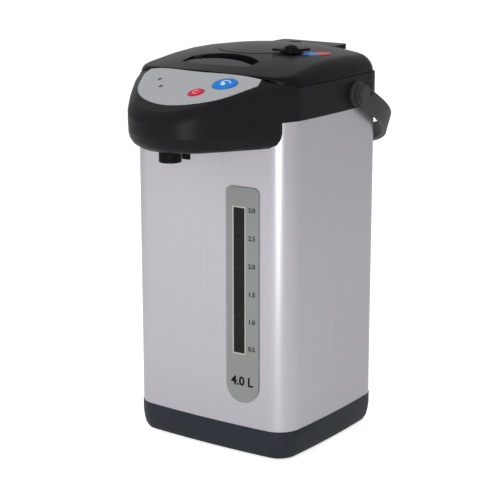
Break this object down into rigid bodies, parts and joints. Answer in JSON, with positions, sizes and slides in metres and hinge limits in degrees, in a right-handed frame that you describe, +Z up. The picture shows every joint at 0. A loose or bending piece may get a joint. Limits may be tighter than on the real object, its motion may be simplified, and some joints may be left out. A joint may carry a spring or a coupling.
{
  "type": "electric thermo pot",
  "caption": "Tall electric thermo pot with a brushed steel body, black beaked lid with hand pump, bail handle, front water gauge and oval control buttons",
  "frame": {"origin": "centre of the footprint on the surface that the pot stands on", "axes": "X runs across the pot, -Y to its front with the beak, Z up"},
  "size_m": [0.2148, 0.321, 0.3985],
  "materials": {
    "black_satin": "satin moulded plastic of the base, the collar, the beak, the lid, the handle and the knob",
    "brushed_shell": "fine vertical brushing, clear coated",
    "grey_panel": "satin grey panel of the gauge and the controls",
    "inner_steel": "deep drawn steel of the pot and the lid's inner plate",
    "pins_steel": "plain metal of pins, screws and the motor",
    "blue_button": "glossy blue",
    "red_button": "glossy red",
    "white_parts": "natural plastic of the inner lid, the pump and the lamps",
    "dark_window": "dark clear window",
    "gauge_glass": "clear glass tube",
    "soft_rubber": "soft black rubber of the foot, the bellows and the fittings",
    "silicone": "pale silicone of seals and hoses",
    "insulation": "felted insulation",
    "circuit_board": "green board with its parts",
    "heater_metal": "heater band and plate"
  },
  "bodies": {
    "pot": {"base_housing": "black_satin", "bottom_plate": "black_satin", "foot_ring": "soft_rubber", "base_screws": "pins_steel", "power_inlet": "black_satin", "inlet_pins": "pins_steel", "outer_shell": "brushed_shell", "gauge_panel": "grey_panel", "gauge_lens": "dark_window", "gauge_tube": "gauge_glass", "tube_fittings": "soft_rubber", "inner_pot": "inner_steel", "pot_seal_ring": "silicone", "insulation_jacket": "insulation", "band_heater": "heater_metal", "heater_plate": "heater_metal", "thermostats": "pins_steel", "pump_motor": "pins_steel", "pump_housing": "white_parts", "inlet_hose": "silicone", "outlet_hose": "silicone", "power_board": "circuit_board", "shoulder": "black_satin", "beak_cover": "black_satin", "nozzle": "black_satin", "spout_tube": "silicone", "lever_bracket": "black_satin", "lever_pin": "pins_steel", "control_panel": "grey_panel", "indicator_lamps": "white_parts", "control_board": "circuit_board", "button_switches": "black_satin", "handle_bosses": "black_satin", "handle_screws": "pins_steel", "hinge_bracket": "black_satin", "hinge_pin": "pins_steel"},
    "lid": {"lid_cover": "black_satin", "hinge_arms": "black_satin", "latch_pocket": "black_satin", "pump_well": "black_satin", "lid_base": "white_parts", "inner_cover_plate": "inner_steel", "lid_gasket": "silicone", "latch_pin": "pins_steel", "steam_vent": "black_satin"},
    "pump": {"pump_plate": "black_satin", "pump_bellows": "soft_rubber"},
    "lock": {"lock_knob": "black_satin"},
    "latch": {"latch_lever": "grey_panel"},
    "release": {"release_tab": "black_satin"},
    "bail": {"handle": "black_satin", "handle_caps": "black_satin"},
    "dispense": {"dispense_button": "blue_button"},
    "reboil": {"reboil_button": "red_button"},
    "lever": {"cup_lever": "black_satin"},
    "float": {"level_float": "red_button"},
    "impeller": {"pump_impeller": "white_parts"}
  },
  "joints": [
    {"name": "handle_swing", "type": "hinge", "parent": "pot", "child": "bail", "pos_m": [0, 0.032, 0.352], "axis": [-1, 0, 0], "range_deg": [-120, 0]},
    {"name": "lid_hinge", "type": "hinge", "parent": "pot", "child": "lid", "pos_m": [0, 0.094, 0.3725], "axis": [-1, 0, 0], "range_deg": [0, 80]},
    {"name": "pump_press", "type": "slide", "parent": "lid", "child": "pump", "axis": [0, 0, -1], "range_m": [0, 0.013], "stiffness_N_per_m": 600, "deforming": ["pump_bellows"]},
    {"name": "lock_turn", "type": "hinge", "parent": "lid", "child": "lock", "pos_m": [0.0435, -0.0046, 0.39289], "axis": [0.0906, -0.0512, 0.9946], "range_deg": [0, 90]},
    {"name": "latch_lift", "type": "hinge", "parent": "lid", "child": "latch", "pos_m": [0, -0.07, 0.38099], "axis": [1, 0, 0], "range_deg": [0, 22], "stiffness_Nm_per_rad": 0.3},
    {"name": "release_lift", "type": "hinge", "parent": "lid", "child": "release", "pos_m": [0, 0.082, 0.3875], "axis": [1, 0, 0], "range_deg": [0, 20], "stiffness_Nm_per_rad": 0.3},
    {"name": "dispense_press", "type": "slide", "parent": "pot", "child": "dispense", "axis": [-0.1154, 0.4, -0.9092], "range_m": [0, 0.001], "stiffness_N_per_m": 800},
    {"name": "reboil_press", "type": "slide", "parent": "pot", "child": "reboil", "axis": [-0.0322, 0.4025, -0.9148], "range_m": [0, 0.001], "stiffness_N_per_m": 800},
    {"name": "cup_lever_swing", "type": "hinge", "parent": "pot", "child": "lever", "pos_m": [0, -0.1175, 0.318], "axis": [1, 0, 0], "range_deg": [0, 12], "stiffness_Nm_per_rad": 0.05},
    {"name": "float_rise", "type": "slide", "parent": "pot", "child": "float", "axis": [0, 0, 1], "range_m": [0, 0.135]},
    {"name": "impeller_spin", "type": "hinge", "parent": "pot", "child": "impeller", "pos_m": [0.016, -0.034, 0.044], "axis": [0, 0, 1], "continuous": true}
  ]
}
